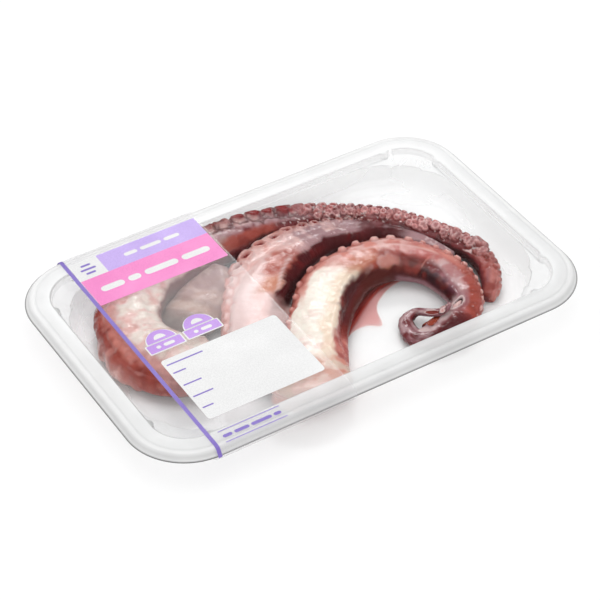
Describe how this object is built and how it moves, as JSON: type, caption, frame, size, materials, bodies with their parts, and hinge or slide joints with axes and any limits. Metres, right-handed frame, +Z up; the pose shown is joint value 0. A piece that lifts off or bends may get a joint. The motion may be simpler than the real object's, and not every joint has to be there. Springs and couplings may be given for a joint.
{
  "type": "tray of cooked octopus arms",
  "caption": "Cooked octopus arms curled side by side in a shallow clear sealed tray with a printed clear sleeve band.",
  "frame": {"origin": "middle of the pack's footprint, on the surface it lies on", "axes": "+X along the tray's length, +Y across it towards its back long side, +Z up through the lid film"},
  "size_m": [0.2546, 0.1616, 0.0206],
  "materials": {
    "tray_plastic": "clear thermoformed plastic, smooth and glossy",
    "lid_film": "thin clear sealing film",
    "sleeve_film": "thin milky clear sleeve with violet, pink and white print",
    "octopus_flesh": "moist cooked flesh, cream to salmon pink with wine-red skin",
    "octopus_skin": "moist cooked skin, wine red to grey mauve"
  },
  "bodies": {
    "root": {"tray": "tray_plastic", "lid_film": "lid_film", "sleeve": "sleeve_film", "arm_front": "octopus_flesh", "arm_middle": "octopus_flesh", "arm_back": "octopus_skin", "skin_web": "octopus_skin"}
  },
  "joints": []
}
